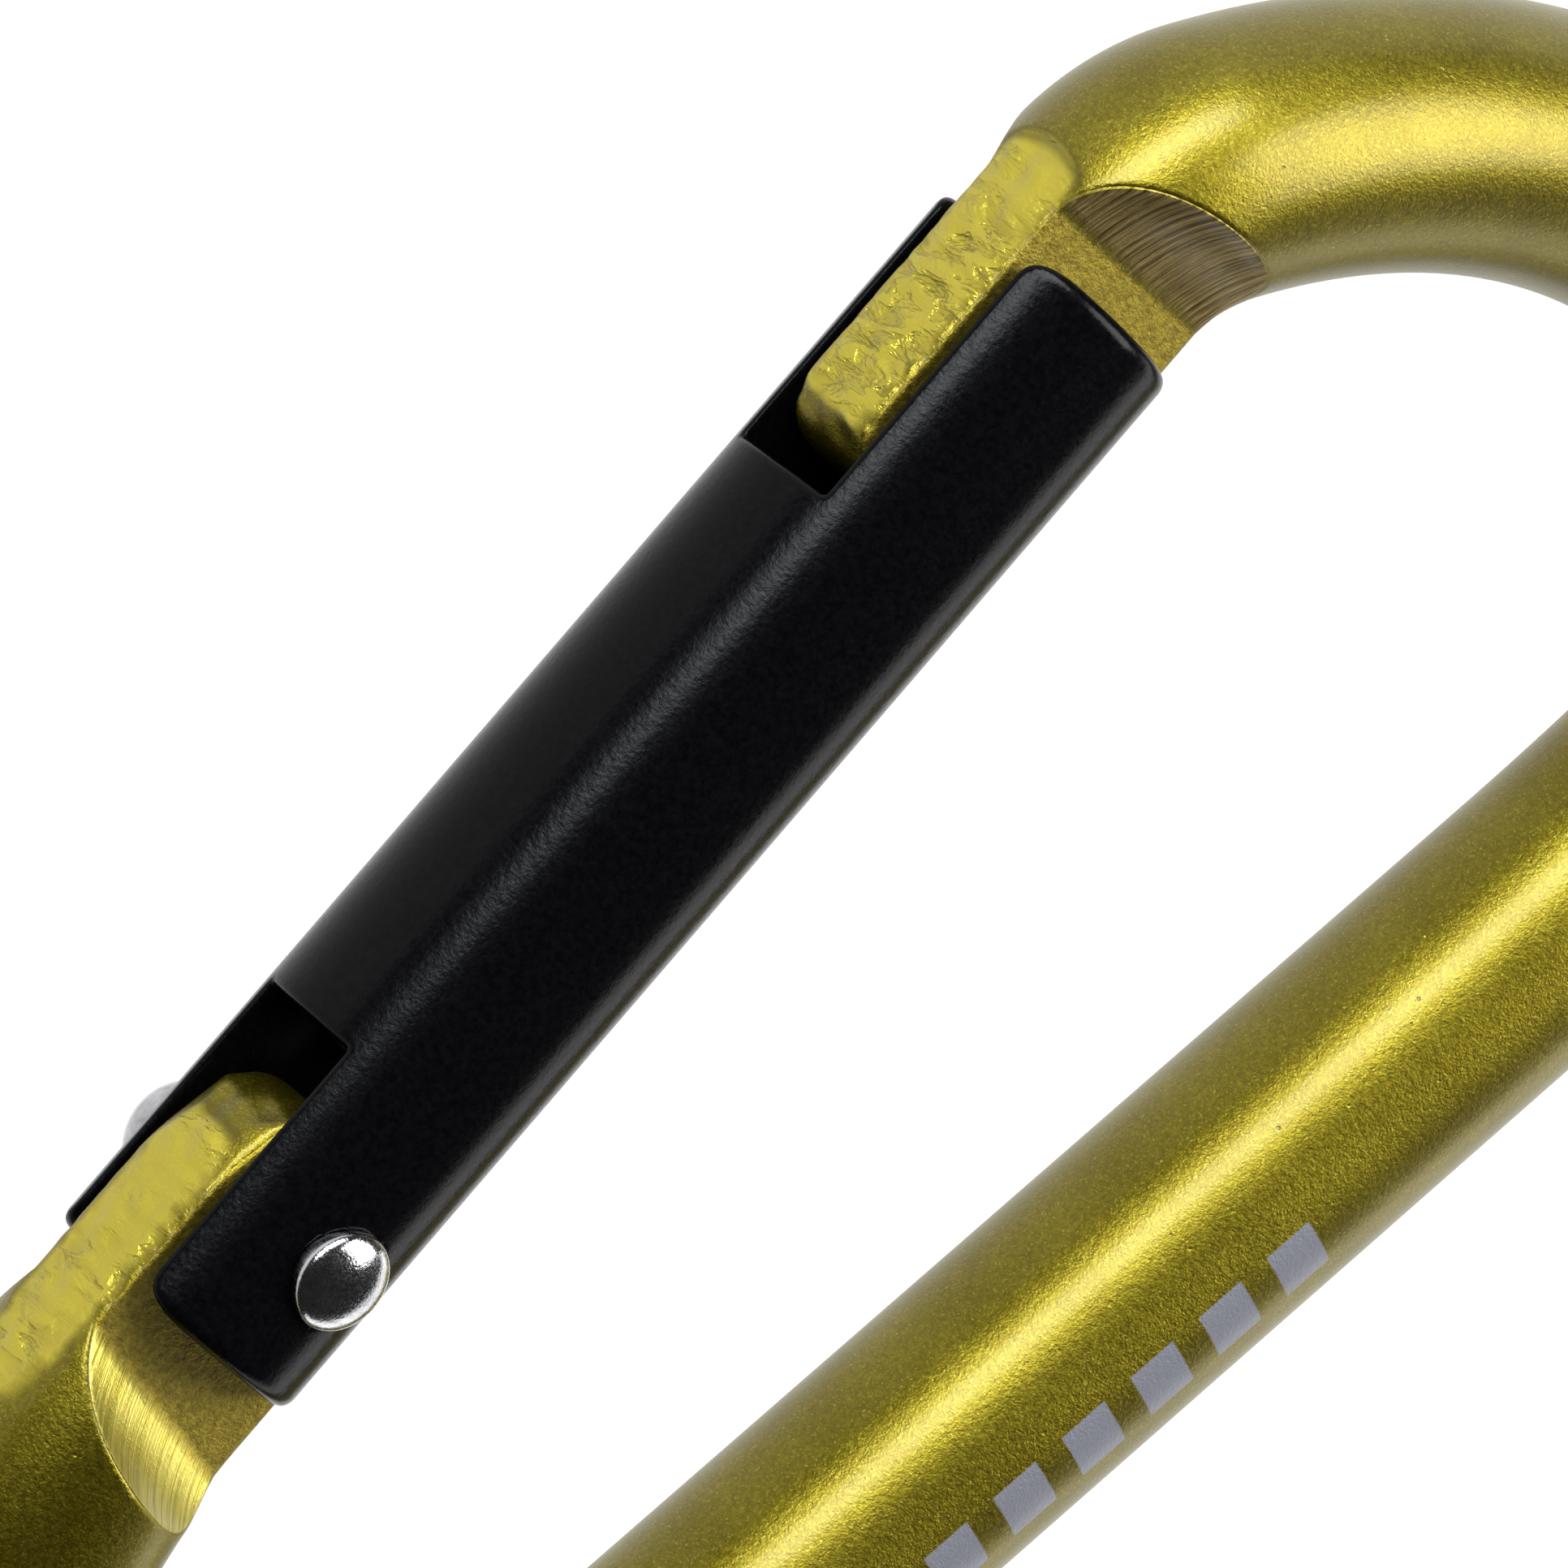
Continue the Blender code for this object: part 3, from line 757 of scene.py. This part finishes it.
def olive_anodised():
    """Bead-blasted, olive-gold anodised aluminium with worked tangs and scallops, with painted glints,
    light and shade on its skin.
    """
    m = Shader("olive_anodised")
    where = m.local()
    place = m.node("SeparateXYZ", {0: where}).outputs
    flat, rim, scallop, cheek = body_zones(m)
    nose = m.fade(place["Y"], 12, 18)
    broad = m.noise(where, 0.3, 3.0, 0.6)
    grain = m.noise(where, 6.0, 3.0, 0.7)
    glint_spots = m.noise(where, 13.0, 2.0, 0.6)
    sand = m.noise(where, 5.0, 4.0, 0.75)
    cell = m.node("TexVoronoi", {"Vector": where, "Scale": 1.1}, feature="F1")
    dent = m.fade(cell.outputs["Distance"], 0.03, 0.08, 1.0, 0.0)
    groove = tool_marks(m, place)
    wrinkle = forging_wrinkles(m, where, flat)
    bars = printed_bars(m)

    colour = m.mix(m.fade(broad, 0.3, 0.7), *OLIVE)
    colour = m.mix(m.fade(grain, 0.38, 0.62), m.mix(0.5, colour, OLIVE_GRAIN), colour)
    # Painted glints: lighter specks on the olive skin stand in for the sparkle of the blasted surface.
    colour = m.mix(m.fade(glint_spots, 0.58, 0.8), colour, OLIVE_GLINT)
    colour = m.mix(m.math("MULTIPLY", dent, 0.4), colour, OLIVE_DENT)
    # The scallops' cut skin with its tool marks, one finish at both ends; the nose's copy is painted darker
    # as painted shade and the hinge's lighter as painted light.
    nose_cut_shaded = m.mix(m.fade(groove, 0.38, 0.6), *NOSE_CUT_SHADED)
    hinge_cut_lit = m.mix(m.fade(groove, 0.32, 0.6), *HINGE_CUT_LIT)
    colour = m.mix(scallop, colour, m.mix(nose, hinge_cut_lit, nose_cut_shaded))
    colour = m.mix(cheek, colour, m.mix(m.fade(sand, 0.35, 0.65), *RUBBED))
    # Painted light: the flats are painted lighter, standing in for the glow of the floor that they face and
    # reflect.
    colour = m.mix(m.math("MULTIPLY", flat, 0.62), colour, OLIVE_FLAT_LIT)
    # Painted shade: the forging wrinkles on the flats are darkened where their folds fall in shade.
    colour = m.mix(m.math("MULTIPLY", wrinkle, 0.3), colour, OLIVE_WRINKLE_SHADE)
    # Painted shade along a flat's end and crease.
    colour = m.mix(m.math("MULTIPLY", rim, 0.6), colour, OLIVE_RIM_SHADE)
    colour = m.mix(bars, colour, PRINT_GREY)
    m.set(Base_Color=colour, Metallic=m.math("SUBTRACT", 0.95, m.math("MULTIPLY", bars, 0.9)))
    blasted = m.fade(grain, 0.3, 0.7, 0.34, 0.42)
    m.set(Roughness=m.math("ADD", blasted, m.math("MULTIPLY", cheek, 0.14)))
    m.set(Coat_Weight=0.2, Coat_Roughness=0.22)

    relief = [
        (grain, 0.55),
        (glint_spots, 0.4),
        (dent, -0.5),
        (m.math("MULTIPLY", groove, scallop), 4.0),
        (m.math("MULTIPLY", sand, cheek), 1.6),
        (wrinkle, -4.5),
    ]
    height = 0.0
    for pattern, share in relief:
        height = m.math("MULTIPLY_ADD", pattern, share, height)
    m.set(Normal=m.bump(height, 1.0, 0.000032))
    return m.material


def printed_bars(m):
    """Share of grey print: a row of plain bars of one height along the front of the spine."""
    row = m.node("SeparateXYZ", {0: m.node("TexCoord").outputs["Object"]}).outputs
    along = m.math("MULTIPLY", row["Y"], 1 / MM)
    # Whole periods are added so that the fraction is taken of a positive number.
    counted = m.math("ADD", along, 20 * PRINT_PERIOD - PRINT_START)
    beat = m.math("FRACT", m.math("DIVIDE", counted, PRINT_PERIOD))
    bar = m.math("MULTIPLY", m.fade(beat, 0.10, 0.12), m.fade(beat, 0.72, 0.74, 1.0, 0.0))
    started = m.fade(along, PRINT_START, PRINT_START + 0.05)
    ends = m.math("MULTIPLY", started, m.fade(along, PRINT_END, PRINT_END + 0.05, 1.0, 0.0))
    side = m.math("MULTIPLY", m.math("SUBTRACT", row["X"], PIVOT.x + SPINE_X * MM), 1 / MM)
    above = m.fade(side, PRINT_LOW, PRINT_LOW + 0.05)
    band = m.math("MULTIPLY", above, m.fade(side, PRINT_HIGH - 0.05, PRINT_HIGH, 1.0, 0.0))
    front = m.fade(row["Z"], PIVOT.z + 0.001, PIVOT.z + 0.0011)
    return m.math("MULTIPLY", m.math("MULTIPLY", bar, ends), m.math("MULTIPLY", band, front))


def black_anodised():
    """Smooth, nearly black anodised skin with a faint orange peel."""
    m = Shader("black_anodised")
    where = m.local()
    peel = m.noise(where, 4.4, 3.0, 0.6)
    fine = m.noise(where, 9.0, 2.0, 0.6)
    colour = m.mix(m.fade(peel, 0.35, 0.7), (0.00075, 0.00075, 0.001), (0.002, 0.002, 0.0025))
    m.set(Base_Color=colour, Metallic=0.0, Roughness=m.fade(fine, 0.3, 0.7, 0.17, 0.27), IOR=1.165)
    height = m.math("ADD", peel, m.math("MULTIPLY", fine, 0.35))
    m.set(Normal=m.bump(height, 1.0, 0.000009))
    return m.material


def steel(name, low, high, rough):
    """Bright steel between these colours, at least this rough, with fine turning marks."""
    m = Shader(name)
    where = m.local()
    cloud = m.noise(where, 2.0, 3.0, 0.6)
    turned = m.noise(m.local((14.0, 14.0, 2.0)), 1.0, 2.0, 0.5)
    colour = m.mix(m.fade(cloud, 0.3, 0.7), low, high)
    m.set(Base_Color=colour, Metallic=1.0, Roughness=m.fade(turned, 0.3, 0.7, rough, rough + 0.12))
    m.set(Normal=m.bump(turned, 0.6, 0.00001))
    return m.material


def dress(obj, material):
    obj.data.materials.clear()
    obj.data.materials.append(material)


# ---------------------------------------------------------------- studio


LIGHT_AIM = (0.0, 0.0, 0.005)


def emitter(name, place, size, power, colour):
    """A rectangular lamp, (level length, height) in metres, turned towards the carabiner."""
    light = bpy.data.lights.new(name, "AREA")
    light.shape = "RECTANGLE"
    light.size, light.size_y = size
    light.energy = power
    light.color = colour
    obj = bpy.data.objects.new(name, light)
    obj.location = place
    obj.rotation_euler = (Vector(LIGHT_AIM) - Vector(place)).to_track_quat("-Z", "Y").to_euler()
    bpy.context.scene.collection.objects.link(obj)


def build_lights():
    """A long lamp beside the gate, a broad one over the nose end and a low strip behind."""
    emitter("key_side", (-0.48, 0.2, 0.27), (0.6, 0.17), 7.2, (0.95, 0.98, 1.0))
    emitter("over_nose_end", (0.08, 0.42, 0.45), (0.5, 0.32), 6.2, (1.0, 0.99, 0.96))
    emitter("low_far_side", (0.5, 0.0, 0.13), (1.2, 0.19), 1.8, (1.0, 1.0, 1.0))


def build_floor(low_z):
    """A plain floor that glows white, so that the lamps hardly change it."""
    mesh = bpy.data.meshes.new("studio_floor")
    half = 1.5
    corners = [(-half, -half, low_z), (half, -half, low_z), (half, half, low_z), (-half, half, low_z)]
    mesh.from_pydata(corners, [], [(0, 1, 2, 3)])
    floor = new_object("studio_floor", mesh)
    m = Shader("studio_white")
    grain = m.noise(m.node("TexCoord").outputs["Object"], 40.0, 2.0)
    colour = m.mix(m.fade(grain, 0.2, 0.8), (0.10, 0.10, 0.10), (0.13, 0.13, 0.13))
    m.set(Base_Color=colour, Roughness=0.9)
    m.set(Emission_Color=(1.0, 1.0, 1.0), Emission_Strength=1.03)
    dress(floor, m.material)


def build_world():
    world = bpy.data.worlds.new("studio")
    bpy.context.scene.world = world
    world.use_nodes = True
    nodes = world.node_tree.nodes
    back = nodes["Background"]
    back.inputs["Color"].default_value = (0.98, 0.99, 1.0, 1)
    back.inputs["Strength"].default_value = 0.035


# The camera's place from the hinge in metres, its turn in degrees and its lens.
CAMERA_OFFSET = Vector((-0.1999021, -0.0384983, 0.213295))
CAMERA_TURN = (-30.9494, -33.5140, 63.3744)
LENS_MM = 244.94


def build_camera():
    data = bpy.data.cameras.new("camera")
    data.lens = LENS_MM
    data.sensor_width = 36
    data.clip_start = 0.01
    camera = bpy.data.objects.new("camera", data)
    camera.location = PIVOT + CAMERA_OFFSET
    camera.rotation_euler = Euler([math.radians(a) for a in CAMERA_TURN], "XYZ")
    bpy.context.scene.collection.objects.link(camera)
    bpy.context.scene.camera = camera


def main():
    build_camera()
    body = build_body()
    dress(body, olive_anodised())
    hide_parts("frame")
    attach(body, "body")
    gate = build_gate()
    dress(gate, black_anodised())
    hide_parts("gate")
    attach(gate, "gate")
    rivet = build_rivet()
    dress(rivet, steel("polished_rivet", (0.27, 0.27, 0.28), (0.45, 0.45, 0.46), 0.1))
    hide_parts("hinge_rivet")
    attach(rivet, "gate")
    plunger = build_plunger()
    dress(plunger, steel("turned_plunger", (0.4, 0.4, 0.4), (0.55, 0.55, 0.56), 0.25))
    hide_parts("spring_plunger")
    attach(plunger, "plunger")
    spring = build_spring()
    dress(spring, steel("drawn_wire", (0.3, 0.3, 0.31), (0.42, 0.42, 0.43), 0.25))
    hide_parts("gate_spring")
    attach(spring, "gate")
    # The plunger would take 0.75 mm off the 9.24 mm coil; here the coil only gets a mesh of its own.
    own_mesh(spring)
    build_floor(0.0)
    build_world()
    build_lights()
    bpy.context.scene.view_settings.view_transform = "Standard"


main()
